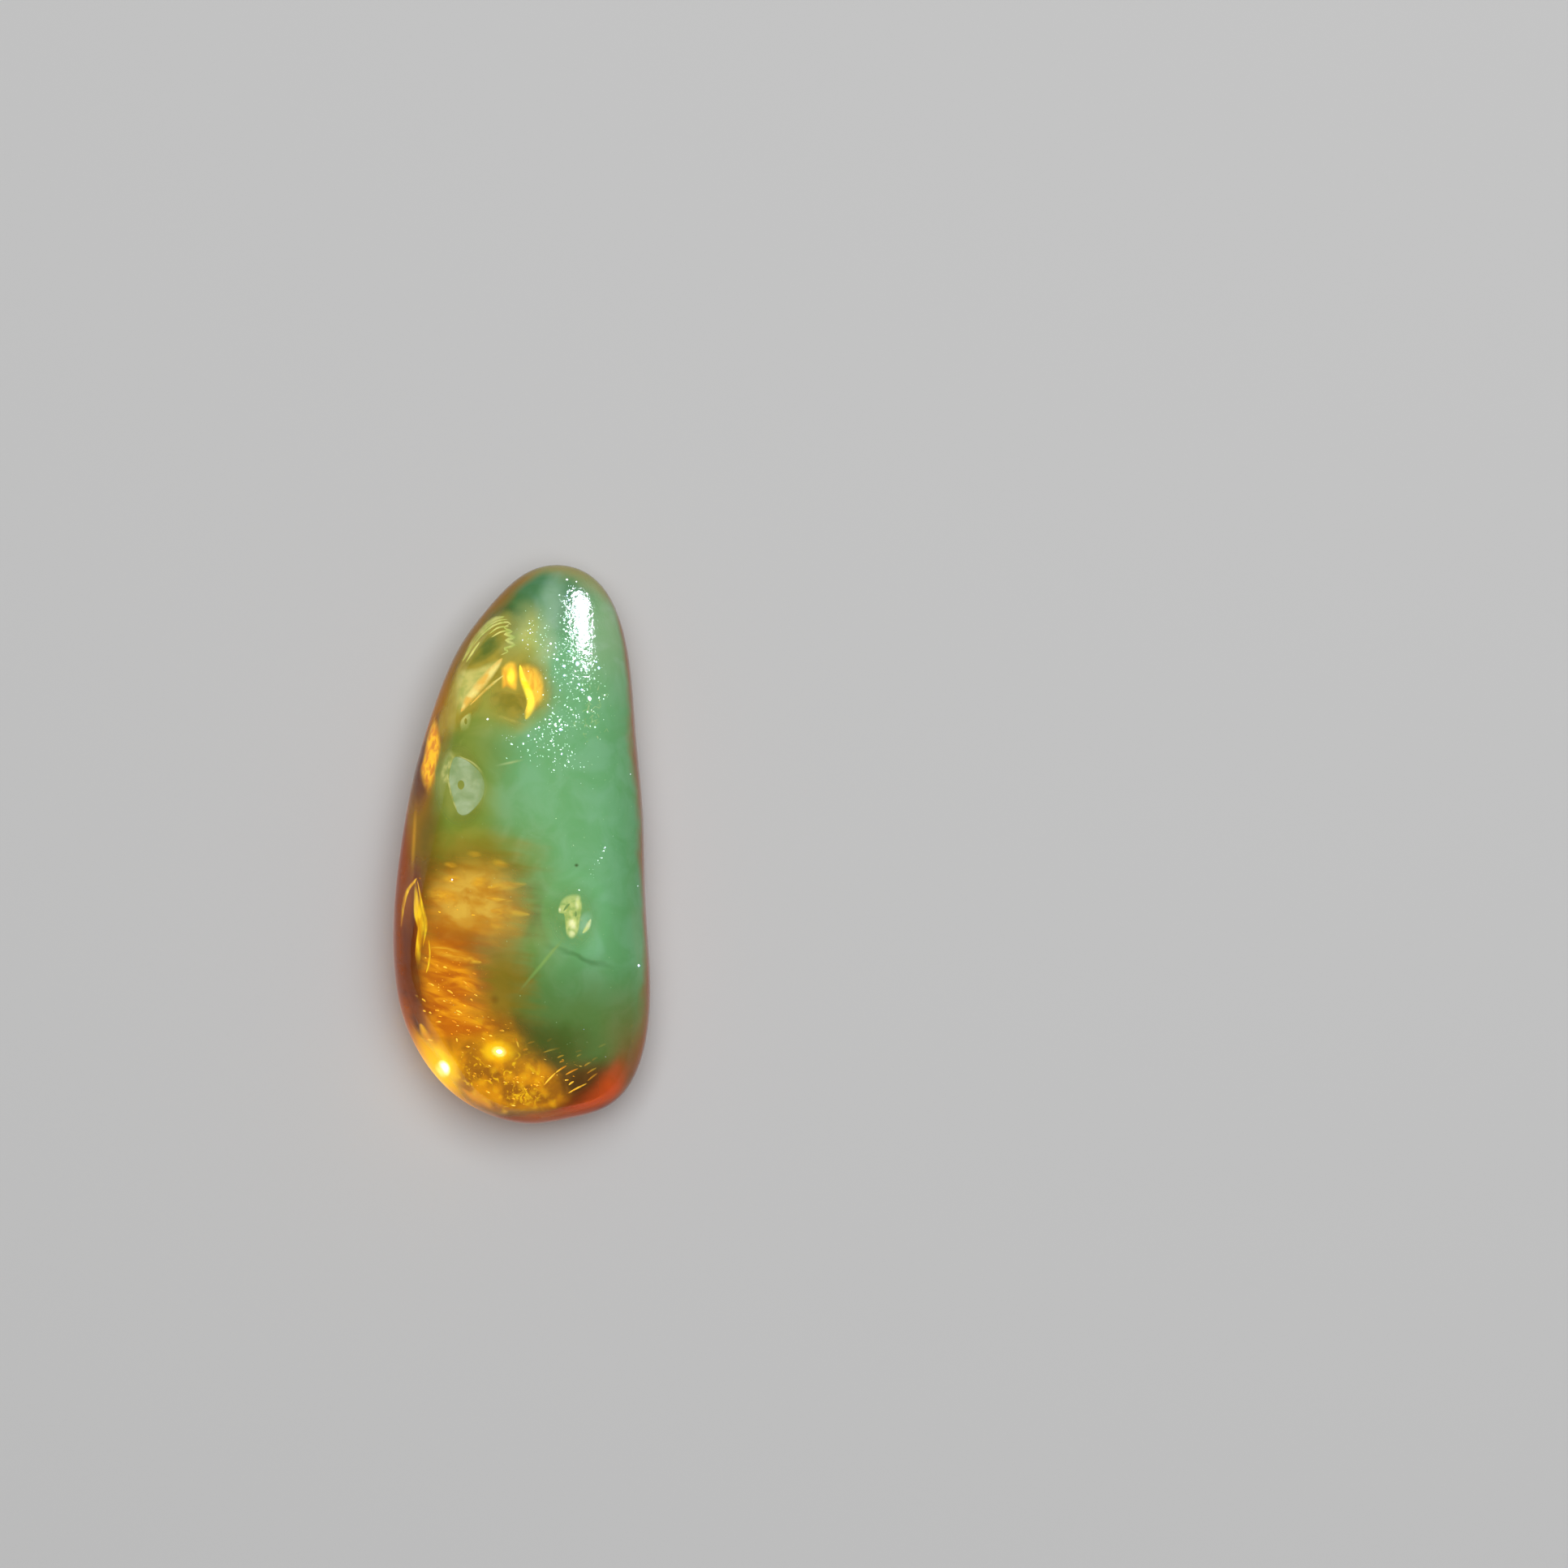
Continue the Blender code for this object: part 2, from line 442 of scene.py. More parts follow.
def grains(centres, radii, seed, squash, turns=(0, 360), rows=4, columns=5):
    # Many small beads: each is two rings of five points between two poles, stretched and turned at random
    random = np.random.default_rng(seed)
    turn = np.linspace(0, math.pi, rows)[:, None]
    around = np.linspace(0, 2 * math.pi, columns, endpoint=False)
    out = np.sin(turn)
    out[[0, -1]] = 0
    bead = np.stack([out * np.cos(around), out * np.sin(around), np.cos(turn) + 0 * around], axis=2)
    bead = bead.reshape(-1, 3)
    count = len(centres)
    stretch = random.uniform(0.6, 1.4, (count, 3)) * np.array(squash)
    spin = np.radians(random.uniform(*turns, count))
    bead = bead[None] * stretch[:, None] * np.broadcast_to(radii, count)[:, None, None]
    cos, sin = np.cos(spin)[:, None], np.sin(spin)[:, None]
    x = bead[:, :, 0] * cos - bead[:, :, 1] * sin
    y = bead[:, :, 0] * sin + bead[:, :, 1] * cos
    points = np.stack([x, y, bead[:, :, 2]], axis=2) + centres[:, None]
    quads = gridQuads(rows, columns, wrap=True)
    quads = (quads[None] + np.arange(count)[:, None, None] * rows * columns).reshape(-1, 4)
    return points.reshape(-1, 3), quads


def scattered(count, spots, seed):
    # Plan places drawn from round heaps, each with its middle, spreads, turn and share of the count
    random = np.random.default_rng(seed)
    shares = np.array([spot["share"] for spot in spots], float)
    pick = random.choice(len(spots), count, p=shares / shares.sum())
    at = np.array([spot["at"] for spot in spots])[pick]
    spread = np.array([spot["spread"] for spot in spots])[pick]
    turn = np.radians([spot.get("turn", 0) for spot in spots])[pick]
    off = random.normal(0, 1, (count, 2)) * spread
    cos, sin = np.cos(turn), np.sin(turn)
    return at + np.stack([off[:, 0] * cos - off[:, 1] * sin, off[:, 0] * sin + off[:, 1] * cos], axis=1)


# The clear body

def drifting(at, radii, soft, turn=0, amount=1, edge="drifting"):
    # A soft-edged ellipse seen from above: its middle and radii in mm, how far its edge is spread as a share
    # of the radii, its turn in degrees and its strength. Its edge is drifting, torn or still
    return {"at": at, "radii": radii, "soft": soft, "turn": turn, "amount": amount, "edge": edge}


def torn(*ellipse):
    return {**drifting(*ellipse), "edge": "torn"}


def still(*ellipse):
    return {**drifting(*ellipse), "edge": "still"}


haze = {
    "milk": (121, 183, 132),  # colours are in sRGB
    "strokes": (  # patches of other colours in the milky glow, one over the other
        ((130, 148, 60), drifting((-5.4, 1), (4.6, 15), 0.5)),
        ((124, 184, 126), drifting((2.2, -0.5), (2.4, 8), 0.9, 0, 0.8)),
        ((126, 154, 76), drifting((0.3, -6), (2.2, 6), 0.8, 0, 0.9)),
        ((88, 124, 54), drifting((3, -14.5), (8, 5.5), 0.5, 0, 0.9)),
        ((140, 120, 36), torn((-1.2, -10.8), (2.1, 4.2), 0.7)),
        ((86, 138, 98), drifting((1.2, 17.6), (4.6, 2.6), 0.6)),
        ((78, 122, 66), drifting((-0.4, 17.1), (1.4, 1.1), 0.8, 35, 0.8)),
        # painted highlight: pale haze to the right of the narrow lamp's reflection
        ((148, 186, 146), drifting((6.2, 15.6), (1.6, 3.8), 0.8)),
        ((84, 150, 92), drifting((8, -3), (1.3, 14), 1, 0, 0.5)),
        ((198, 198, 112), drifting((0.9, 14.4), (1.2, 2), 0.8, 0, 0.9)),
        # painted highlight: pale haze to the left of the narrow lamp's reflection
        ((168, 206, 176), drifting((2.3, 16.4), (0.8, 2.4), 0.9, -8, 0.6)),
        ((158, 158, 62), drifting((-1.2, 10.9), (3.2, 2.6), 0.5, 0, 0.9)),
        ((168, 146, 40), drifting((-4.9, 11), (1.1, 3.6), 0.6, -20, 0.9)),
        ((170, 124, 14), drifting((-6.2, 6.5), (0.9, 4.5), 0.6, -12, 0.9)),
        ((156, 144, 44), torn((-3.4, -0.9), (3.8, 1.7), 0.7)),
        ((146, 112, 12), drifting((-7, 0), (1.2, 6), 0.8, 0, 0.9)),
        # painted shade: the next two darken the left facet to red-brown, as facet_shade does
        ((124, 54, 0), still((-8.7, -5.6), (1.25, 10.5), 0.4, 1)),
        ((140, 58, 0), still((-7.9, -11.3), (1.1, 3.4), 0.6, 8)),
        ((132, 112, 64), still((7.9, -14.6), (1.4, 3.2), 1, 0, 0.7)),
        ((206, 160, 36), still((-7.5, -0.3), (0.12, 3), 0.9, -2)),
        ((84, 90, 34), drifting((1.2, -14.3), (3.6, 1.9), 0.6, 0, 0.8)),
        ((72, 118, 66), drifting((4.3, -7.9), (1.6, 0.2), 1, -20, 0.6)),
        ((140, 178, 100), still((1.9, -8.2), (1.6, 0.1), 1, 50)),
        ((176, 200, 140), still((-0.5, 5.8), (0.6, 0.07), 1, 12)),
        ((80, 112, 66), still((4.17, -1.42), (0.12, 0.1), 0.8)),
        ((100, 84, 26), still((-1.6, -10.9), (0.25, 0.25), 1, 0, 0.7)),
        # painted shade: darker brown at the foot's right, where gap_shade lies
        ((98, 66, 30), still((4.6, -17.2), (2.6, 1.5), 0.5, 25)),
        ((146, 88, 52), still((7.4, -16.6), (1.2, 2.6), 1, -35, 0.85)),
        # the next three: deeper red amber at the bottom right, lit up as painted light by the matching glows
        # below
        ((196, 84, 38), still((5, -18.2), (1.8, 0.7), 0.9, 22)),
        ((200, 84, 36), still((6.25, -17.2), (1.2, 0.7), 1, 50)),
        ((176, 84, 44), still((6.95, -16.1), (0.9, 0.4), 1, 75, 0.6)),
    ),
    "paintedGlows": (  # painted light: where the glow shines by itself, though no lamp lights it there, and in what colour
        ((234, 170, 0), still((-6.7, -16), (1.6, 3.8), 0.6, 36)),
        ((150, 74, 0), still((-8.3, -12.6), (1, 3), 0.8, 20)),
        ((100, 42, 0), still((-8.6, -4), (1.1, 8.5), 0.8, -3)),
        ((140, 74, 0), still((-3.4, -18.9), (2.4, 0.9), 0.8, -24)),
        ((96, 44, 12), still((1.4, -19.7), (3.6, 0.8), 0.8)),
        ((104, 48, 0), still((-7.4, 3.4), (0.9, 2.8), 0.8, -10)),
        ((96, 50, 0), still((-6, 9.2), (0.9, 4.2), 0.8, -18)),
        ((46, 28, 0), still((-3.3, 15.8), (1, 4.6), 0.8, -38)),
        ((128, 34, 4), still((5, -18.2), (1.6, 0.6), 0.9, 22)),
        ((116, 30, 4), still((6.3, -17.2), (1.1, 0.6), 1, 50)),
        ((56, 16, 2), still((6.95, -16.1), (0.8, 0.4), 1, 75)),
    ),
    "windows": (  # where the glow parts and the clear amber shows
        torn((-3.5, -4), (3.9, 3.1), 0.65, 0, 0.87),
        torn((-5.1, -10), (2.7, 5.2), 0.5, 0, 0.97),
        drifting((-4.2, -15.6), (4.6, 4.2), 0.4),
        drifting((0.6, -17.9), (4.6, 2.7), 0.45, 6),
        still((-7.5, -5.2), (0.8, 3.9), 0.35, -2, 0.95),
        still((-6.65, 6.2), (0.95, 3.6), 0.4, -13, 0.95),
        drifting((0, 11.2), (1.9, 2.5), 0.45, 0, 0.9),
        drifting((-2.7, 13.9), (1.8, 3), 0.4, -38, 0.9),
        drifting((-3.9, 10.2), (1, 2.4), 0.45, -25, 0.9),
        still((-2.5, 11.8), (0.75, 2), 0.5, -40, 0.9),
        still((-4.1, 4.2), (1.7, 2.7), 0.25, 8, 0.95),
        still((3.9, -5.1), (1.4, 1.9), 0.8, 4, 0.95),
    ),
    "rim": (150, 92, 40),
    "rimStrokes": (
        ((146, 66, 20), drifting((1, -20), (9, 4.5), 0.5)),
        # painted light: bright yellow where light gathers at the lower left rim
        ((244, 176, 0), drifting((-6.2, -16.4), (2.4, 4.4), 0.5, 40)),
        ((156, 156, 92), drifting((3.5, 19.5), (4.5, 3), 0.6)),
        # painted shade: dark red-brown rim of the left facet
        ((104, 34, 0), drifting((-9, -5), (2.6, 9.5), 0.3)),
        ((176, 96, 0), drifting((-6.6, 8), (2, 5), 0.4, -12)),
        ((158, 112, 6), drifting((-4.5, 14), (3, 7), 0.4, -35)),
    ),
    "rimFade": (4.4, 6),  # heights between which the glow takes on the rim's colour, in mm
    "rimDrift": 3,  # how far those heights wander, in mm
    "rimDriftScale": 0.22,
    "wideRims": (  # where that band is wider, and by how many mm of height
        still((-4.3, 14.6), (2.6, 8.5), 0.35, -33, 2),
        still((3.4, 19.6), (4.6, 2), 0.5, -15, 0.9),
        still((-9, -5), (1.6, 9), 0.3, 0, 0.8),
        still((8.8, -2), (1.5, 20), 0.5, 3, 0.8),
        # this one carries the painted light of the lower left rim further in
        still((-6.8, -16.2), (2, 4.6), 0.4, 38, 1.4),
        still((2.5, -20), (6.5, 2), 0.4),
    ),
    "bellyFade": (1.5, 4.2),
    "most": 0.94,  # how much of the glow there is at the crown, at the rim and at the belly
    "atRim": 0.9,
    "atBelly": 0.15,
    "drift": 0.9,  # how far drifting edges wander, in mm
    "driftScale": 0.35,
    "streaks": 1.4,  # how far torn edges are drawn out to the side, in mm
    "streakStretch": (0.3, 1.7, 0.5),
    "streakTurn": -8,
    "clouds": {"scale": 0.4, "detail": 5.0, "twist": 0.7, "cut": (0.34, 0.66)},
    "shades": ((0.84, 0.93, 0.78, 1), (1.06, 1.03, 1.06, 1)),  # what the clouds multiply the glow by
    "pits": {"scale": 3.4, "detail": 3.0, "height": 0.034, "elsewhere": 0.1},  # the skin's roughness, in mm
    "pitted": still((3.9, 14), (2.6, 8), 0.4, 0, 0.9),  # where the skin is pitted
    "gloss": 0.14,  # specular level of the glow, 0.5 being a dielectric of the resin's index
    "polish": 0.03,  # how much rougher the glow is than the clear resin
}


def bodyFinish():
    f = Finish("amber_body")
    drift = f.add("TexNoise", pick="Color", Vector=f.place, Scale=haze["driftScale"], Detail=3.0)
    drift = f.add("VectorMath", {"operation": "SUBTRACT"}, i0=drift, i1=(0.5, 0.5, 0.5))
    drift = f.add("VectorMath", {"operation": "MULTIPLY_ADD"}, i0=drift, i1=[2 * haze["drift"]] * 3,
                  i2=f.place)
    streaks = f.noise(1.0, 2.5, f.stretched(haze["streakStretch"], haze["streakTurn"])) - 0.5
    sideways = f.add("CombineXYZ", X=streaks * 2 * haze["streaks"])
    streaked = f.add("VectorMath", {"operation": "ADD"}, i0=drift, i1=sideways)
    warps = {"drifting": drift, "torn": streaked, "still": f.place}

    height = f.add("SeparateXYZ", pick="Z", Vector=f.place)
    height = height + (f.noise(haze["rimDriftScale"], 3.0) - 0.5) * haze["rimDrift"]
    lowered = height
    for band in haze["wideRims"]:
        lowered = lowered - f.blob(band, warps)
    crown = f.ramp(lowered, *haze["rimFade"])
    above = haze["most"]
    for window in haze["windows"]:
        above = above * (1 - f.blob(window, warps))
    edge = f.ramp(height, *haze["bellyFade"], haze["atBelly"], haze["atRim"])
    milky = edge + crown * (above - edge)
    milkTone = f.painted(tone(*haze["milk"]), haze["strokes"], warps)
    clouds = haze["clouds"]
    cloud = f.ramp(f.noise(clouds["scale"], clouds["detail"], Distortion=clouds["twist"]), *clouds["cut"])
    milkTone = f.mixed(1.0, milkTone, f.mixed(cloud, *haze["shades"]), "MULTIPLY")
    milkTone = f.mixed(crown, f.painted(tone(*haze["rim"]), haze["rimStrokes"], warps), milkTone)

    # Painted light: the glow's own emission, where rims and foot look lit from within
    paintedGlows = f.painted((0, 0, 0, 1), haze["paintedGlows"], warps)
    pits = haze["pits"]
    rough = f.noise(pits["scale"], pits["detail"]) * (f.blob(haze["pitted"], warps) + pits["elsewhere"])
    bumps = f.add("Bump", Height=rough, Strength=1.0, Distance=pits["height"] * mm)
    glass = f.add("BsdfPrincipled", Base_Color=(1, 1, 1, 1), Roughness=resin["roughness"],
                  IOR=resin["ior"], Transmission_Weight=1.0, Normal=bumps)
    milk = f.add("BsdfPrincipled", Base_Color=milkTone, Roughness=resin["roughness"] + haze["polish"],
                 IOR=resin["ior"], Specular_IOR_Level=haze["gloss"], Emission_Color=paintedGlows,
                 Emission_Strength=1.0, Normal=bumps)
    most = max(resin["takenPerMetre"])
    clear = [1 - taken / most for taken in resin["takenPerMetre"]]
    depth = f.add("VolumeAbsorption", Color=(*clear, 1), Density=most)
    surface = f.add("MixShader", Fac=milky, i1=glass, i2=milk)
    return f.show(surface, depth)


def makeBody():
    cells = pebble["cells"]
    points = pebbleSkin(cubeDirections(cells))
    quads = gridQuads(cells + 1, cells + 1)
    quads = np.vstack([quads + side * (cells + 1) ** 2 for side in range(6)])
    body = makePiece("amber_body", points, quads, bodyFinish())
    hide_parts("amber")


makeBody()
print("clear body made")


# What shows inside: leaves and threads that shine by emission, a painted light over their own colours

plainLook = {  # what a piece has where its own entry says nothing
    "glow": 1, "most": 0.95,  # how bright its painted light is, and how much of it there is at its middle
    "soft": 1,  # the share of its width over which it thins out
    "thick": 0.05,  # in mm
    "scale": 1, "detail": 4, "twist": 0.4,  # of the noise that mixes its two colours
    "stretch": (1, 1, 1), "turn": 0,
    "cut": (0.35, 0.65),
    "broken": 0,  # how far the noise also parts it
    "ripple": 0,
}


def innerFinish(name, look):
    # Two tones mixed by stretched noise, thinning out towards the edge of the leaf or thread
    # It shines by emission over a near black base: its brightness is painted light, hardly lit by the lamps
    f = Finish(name)
    patches = f.noise(look["scale"], look["detail"], f.stretched(look["stretch"], look["turn"]),
                      Distortion=look["twist"])
    body = f.ramp(patches, *look["cut"])
    colour = f.mixed(body, tone(*look["colours"][0]), tone(*look["colours"][1]))
    out = f.add("SeparateXYZ", pick="X", Vector=f.add("UVMap"))
    alpha = f.ramp(out, 1.0, 1.0 - look["soft"], 0, look["most"])
    if look["broken"]:
        alpha = alpha * (body * look["broken"] + (1 - look["broken"]))
    shader = f.add("BsdfPrincipled", Base_Color=(0.02, 0.01, 0.0, 1), Roughness=0.5, Specular_IOR_Level=0.0,
                   Emission_Color=colour, Emission_Strength=look["glow"], Alpha=alpha)
    return f.show(shader)


def inner(first, second, *shapes, **own):
    # Its two colours, its shapes, and what of its look isn't plain
    return {**plainLook, "colours": (first, second), "shapes": shapes, **own}


def leaf(depth, *outline, hole=None):
    # How deep it lies under the skin, points round it, and its hole's middle and radii, all in mm
    return {"outline": outline, "depth": depth, "hole": hole}


def disc(depth, at, radii, turn=0):
    return leaf(depth, *oval(at, radii, turn))


def thread(width, depth, *path):
    return {"path": path, "width": width, "depth": depth}


def shaped(shape, look):
    if "path" in shape:
        return ribbon(shape["path"], shape["width"], shape["depth"], look["thick"])
    return flake(shape["outline"], shape["depth"], look["thick"], shape["hole"], look["ripple"])


def makeInner(pieces):
    for name, look in pieces.items():
        points, quads, local = joined([shaped(shape, look) for shape in look["shapes"]])
        makePiece(name, points, quads, innerFinish(name, look), local)


# Veils inside in the resin's own colours, lit by their own emission; the orange brightness of the lower part
# is light focused by the stone, painted into these sheets
warmVeils = {
    "tip_ground": inner(
        (150, 140, 52), (176, 166, 80),
        leaf(1.4, (-6.2, 7.6), (-5.4, 11), (-4.2, 13.8), (-2.6, 16), (-0.8, 17), (0.8, 15.4), (2.2, 12.5),
             (2, 9.5), (0.2, 7.6), (-3.2, 6.9)),
        most=1, thick=0.03, soft=0.15, scale=0.6),
    # painted light: a deep sheet that shines up through the lower part, as if lit from below
    "honey_painted_backlight": inner(
        (176, 100, 6), (226, 160, 30),
        leaf(4.4, (-7.4, -2), (-3, -0.4), (1.2, -3.6), (-0.6, -9.5), (0.3, -14), (2.8, -18), (-1.5, -18.9),
             (-5, -17), (-7.4, -13.5), (-8, -8)),
        most=0.92, thick=0.5, soft=0.5, scale=0.4, stretch=(0.6, 1.4, 1), turn=-8, cut=(0.3, 0.7)),
    "olive_glow": inner(
        (136, 146, 78), (172, 168, 92),
        leaf(2.6, (-5.4, 8), (-3.4, 14.8), (-0.8, 16.6), (1.6, 14), (2.2, 10), (0.6, 7.8), (-2, 8.4)),
        leaf(2.4, (-6.4, 1.6), (-6, 6.8), (-3.6, 7.6), (-1.8, 4.6), (-3, 1.2)),
        leaf(2.4, (2, -3), (4.8, -2.6), (5.8, -5.4), (4.4, -7.6), (2.2, -6.8)),
        glow=1.1, most=1, thick=0.3, soft=0.3, scale=0.5),
    "orange_cloud": inner(
        (206, 138, 18), (230, 190, 88),
        leaf(1.4, (-7.1, -1.6), (-4, -0.3), (-1.2, -0.6), (1.2, -2.4), (1.4, -5), (-0.8, -7), (-4.4, -7.3),
             (-6.8, -6.6), (-7.2, -3.6)),
        glow=1.06, most=0.88, thick=0.3, soft=0.8, scale=0.6, detail=3, stretch=(0.9, 1.2, 1), turn=-6,
        cut=(0.36, 0.64), broken=0.35, twist=0.3),
    "cloud_rays": inner(
        (226, 150, 24), (244, 184, 52),
        disc(0.9, (-5.6, -3.7), (1.5, 0.8), -8),
        disc(0.9, (-1.75, -5.6), (0.75, 0.65)),
        disc(0.9, (-1.5, -1.4), (0.8, 0.4), -15),
        disc(0.9, (-3.4, -0.7), (0.7, 0.3), -5),
        disc(0.9, (-5.1, -1.5), (0.6, 0.3), -10),
        disc(0.9, (-5, -2.5), (0.8, 0.35)),
        disc(0.9, (-3.1, -2.7), (0.7, 0.5), 20),
        thread(0.8, 0.8, (-2.5, -3.1), (-1.3, -3), (0.4, -2.85)),
        thread(0.55, 0.8, (-2.6, -3.85), (-1.6, -3.95), (-0.6, -4.1)),
        thread(0.8, 0.8, (-2.3, -4.75), (-1.1, -4.9), (0.6, -5.05)),
        thread(1.1, 0.8, (-6.8, -7.35), (-5.6, -7.7), (-4.4, -8.1), (-2.8, -8.5)),
        most=0.9, thick=0.1, scale=1.3, detail=5, stretch=(0.4, 1.6, 1), turn=-5, cut=(0.38, 0.62),
        broken=0.5, twist=1),
    "flow_veil": inner(
        (206, 112, 2), (250, 172, 24),
        leaf(1.6, (-7.2, -6.6), (-4.6, -6.8), (-2.6, -9.5), (-1.4, -12.5), (-1.4, -14.4), (-4.6, -15.4),
             (-7, -14.2), (-7.6, -10)),
        most=0.9, thick=0.3, soft=0.6, scale=0.8, detail=5, stretch=(0.5, 1.9, 1), turn=-16, cut=(0.4, 0.7),
        broken=0.6, twist=0.7),
    "gold_base": inner(
        (160, 104, 20), (226, 154, 14),
        leaf(1.4, (-7, -14.2), (-2.4, -13), (0.4, -12.8), (2, -15), (3.8, -18.4), (0.2, -19.7),
             (-2.9, -19.3), (-5.6, -17.9)),
        thick=0.3, soft=0.35, scale=0.6, cut=(0.38, 0.66)),
    "gold_crumble": inner(
        (216, 140, 6), (255, 208, 30),
        leaf(1, (-6, -15), (-2.4, -14), (0.2, -13.2), (1.6, -15.6), (3.4, -18.4), (0.2, -19.6),
             (-2.6, -19.1), (-5, -17.8)),
        glow=1.05, thick=0.2, soft=0.6, scale=1.5, detail=8, cut=(0.5, 0.7), broken=1, twist=1.6),
    # painted light: the bright yellow glow inside the lower left rim
    "rim_painted_glow": inner(
        (222, 140, 8), (250, 190, 30),
        thread(1.6, 1, (-7.3, -12.8), (-6.8, -14), (-6.2, -15.3), (-5.2, -16.6)),
        most=0.8, thick=0.4, scale=0.8),
    "facet_shade": inner(
        (96, 40, 2), (140, 72, 4),
        leaf(0.5, (-8.5, 2.6), (-7.7, 1), (-7.6, -3), (-7.6, -8), (-7.2, -10.5), (-7.1, -12.4), (-8, -12.4),
             (-8.9, -9.6), (-9.1, -6), (-8.9, -2)),
        thick=0.1, soft=0.5, scale=0.4, stretch=(1, 0.5, 1)),
    "gap_shade": inner(
        (84, 60, 24), (110, 80, 36),
        leaf(1.6, (1.2, -15), (2.6, -14.4), (5.4, -15.2), (6, -16), (4.8, -17.6), (3, -18.4), (1.8, -17.2)),
        most=0.9, thick=0.1, soft=0.5, scale=0.6),
}
makeInner(warmVeils)
print("warm veils made")

# Painted light: two bright spots where light gathers in the foot, as glowing discs with halos, rings and
# cores, and faint glowing halos round gold flecks
paintedLightSpots = {
    "painted_lightspot_halos": inner(
        (246, 170, 4), (255, 190, 10),
        disc(0.9, (-5.75, -15.7), (1.6, 2.8), 30),
        disc(1, (-1.7, -14.85), (2.3, 1.6), 4),
        glow=1.15, most=0.8, thick=0.3, cut=(0.4, 0.6)),
    "painted_lightspot_rings": inner(
        (255, 216, 20), (255, 228, 40),
        disc(0.8, (-5.85, -16), (1.5, 2), 33),
        disc(0.9, (-1.65, -14.87), (1.4, 0.95)),
        glow=1.5, most=0.8, thick=0.2, cut=(0.4, 0.6)),
    "painted_lightspot_cores": inner(
        (255, 250, 190), (255, 252, 210),
        disc(0.7, (-5.7, -16.13), (0.62, 0.74), 20),
        disc(0.8, (-1.63, -14.87), (0.62, 0.44), -10),
        glow=7, most=1, thick=0.1, soft=0.9, cut=(0.4, 0.6)),
    "painted_fleck_halos": inner(
        (250, 176, 10), (255, 200, 30),
        *(disc(0.8, at, (radius, radius * 0.7), turn) for at, radius, turn in (
            ((-3.39, -17.83), 0.4, 80), ((-1.54, -18.13), 0.3, 20), ((-1.21, -19.17), 0.35, 0),
            ((0.2, -16.65), 0.6, 10), ((0.43, -16), 0.5, 85), ((0.78, -17.8), 0.45, -30),
            ((1.6, -17.8), 0.6, -40), ((1.1, -16.95), 0.4, 60), ((-0.9, -16.72), 0.6, 30),
            ((-2.65, -13.6), 0.35, -20), ((-3.1, -12.7), 0.6, -15), ((2.2, -18.6), 0.5, -45),
            ((-2.9, -17.05), 0.5, -15), ((0, -17.3), 0.5, 50), ((-2, -16.2), 0.5, 40),
            ((-1.9, -17.6), 0.4, -60),
        )),
        glow=1.05, most=0.3, thick=0.1, scale=3, cut=(0.4, 0.6)),
}
makeInner(paintedLightSpots)
print("glowing spots made")

